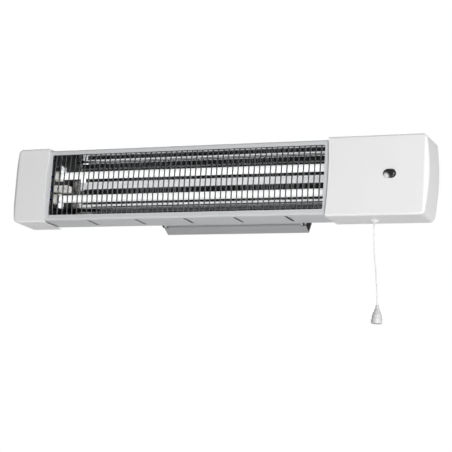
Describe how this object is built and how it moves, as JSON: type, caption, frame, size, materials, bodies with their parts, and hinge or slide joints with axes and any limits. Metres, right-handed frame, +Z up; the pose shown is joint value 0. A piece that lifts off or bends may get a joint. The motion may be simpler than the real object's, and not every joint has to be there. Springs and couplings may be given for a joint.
{
  "type": "wall-hung quartz heater with pull cord",
  "caption": "White wall-hung quartz heater with a chrome wire guard, a tilting wall bracket and a pull-cord switch.",
  "frame": {"origin": "centre of the four wall holes, on the back face of the bracket's wall plate", "axes": "+X along the heater towards the switch end, +Y into the wall, +Z up; the heater faces -Y"},
  "size_m": [0.609, 0.0872, 0.2435],
  "materials": {
    "moulded_white": "fine satin moulding",
    "casing_paint": "smooth light grey stove paint",
    "mirror_sheet": "bright-rolled aluminium",
    "guard_chrome": "bright plated wire",
    "plated_steel": "zinc plated",
    "cheek_black": "black stove enamel",
    "bracket_paint": "grey powder coat",
    "quartz": "milky fused quartz",
    "resistance_wire": "oxidised resistance alloy",
    "ceramic": "unglazed steatite",
    "smoked_lens": "smoked clear plastic",
    "lamp_glass": "clear glass over a neon filling",
    "switch_plastic": "plain moulding",
    "dark_plastic": "plain moulding",
    "contact_brass": "bare strip",
    "cord_white": "braided cord",
    "black_rubber": "matt",
    "red_sleeve": "silicone sleeve",
    "blue_sleeve": "silicone sleeve",
    "brown_sleeve": "silicone sleeve",
    "grey_sleeve": "silicone sleeve",
    "green_sleeve": "silicone sleeve"
  },
  "bodies": {
    "bracket": {"wall_bracket": "bracket_paint", "bracket_cheeks": "cheek_black", "cheek_rivets": "plated_steel", "pivot_rod": "plated_steel"},
    "heater": {"casing": "casing_paint", "back_plate": "casing_paint", "back_plate_screws": "plated_steel", "reflector": "mirror_sheet", "end_plate_left": "plated_steel", "end_plate_right": "plated_steel", "wire_guard": "guard_chrome", "guard_rails": "guard_chrome", "guard_clips": "plated_steel", "upper_quartz_tube": "quartz", "lower_quartz_tube": "quartz", "upper_heating_coil": "resistance_wire", "lower_heating_coil": "resistance_wire", "tube_ferrules": "plated_steel", "ceramic_bushes": "ceramic", "tube_brackets": "plated_steel", "link_block": "ceramic", "left_cap": "moulded_white", "right_cap": "moulded_white", "cap_screws": "plated_steel", "end_plate_screws": "plated_steel", "tilt_lugs": "casing_paint", "lug_rivets": "plated_steel", "tilt_screws": "plated_steel", "tilt_washers": "plated_steel", "tilt_nuts": "plated_steel", "indicator_lens": "smoked_lens", "indicator_holder": "switch_plastic", "neon_lamp": "lamp_glass", "switch_housing": "switch_plastic", "switch_cover": "switch_plastic", "contact_blades": "contact_brass", "return_spring": "plated_steel", "cord_bush": "moulded_white", "bush_nut": "plated_steel", "terminal_block": "switch_plastic", "terminal_screws": "contact_brass", "cable_grommet": "black_rubber", "cable_clamp": "switch_plastic", "clamp_screws": "plated_steel", "switch_screws": "plated_steel", "earth_stud": "contact_brass", "earth_nut": "contact_brass", "upper_tube_lead": "red_sleeve", "lower_tube_lead": "red_sleeve", "left_link_leads": "blue_sleeve", "neutral_return_lead": "blue_sleeve", "live_lead": "brown_sleeve", "lamp_leads": "grey_sleeve", "earth_lead": "green_sleeve"},
    "pull": {"switch_plunger": "switch_plastic", "pull_cord": "cord_white", "cord_knob": "moulded_white", "cord_knot": "cord_white"},
    "wheel": {"switch_wheel": "dark_plastic"}
  },
  "joints": [
    {"name": "tilt", "type": "hinge", "parent": "bracket", "child": "heater", "pos_m": [0, -0.028, -0.0375], "axis": [1, 0, 0], "range_deg": [0, 20]},
    {"name": "cord_pull", "type": "slide", "parent": "heater", "child": "pull", "axis": [0, 0, -1], "range_m": [0, 0.0072], "stiffness_N_per_m": 800, "deforming": ["return_spring"]},
    {"name": "wheel_turn", "type": "hinge", "parent": "heater", "child": "wheel", "pos_m": [0.1984, -0.05, 0], "axis": [0, 1, 0], "range_deg": [0, 45.5]}
  ],
  "couplings": [
    {"joint": "wheel_turn", "follows": "cord_pull", "rad_per_m": 109}
  ]
}
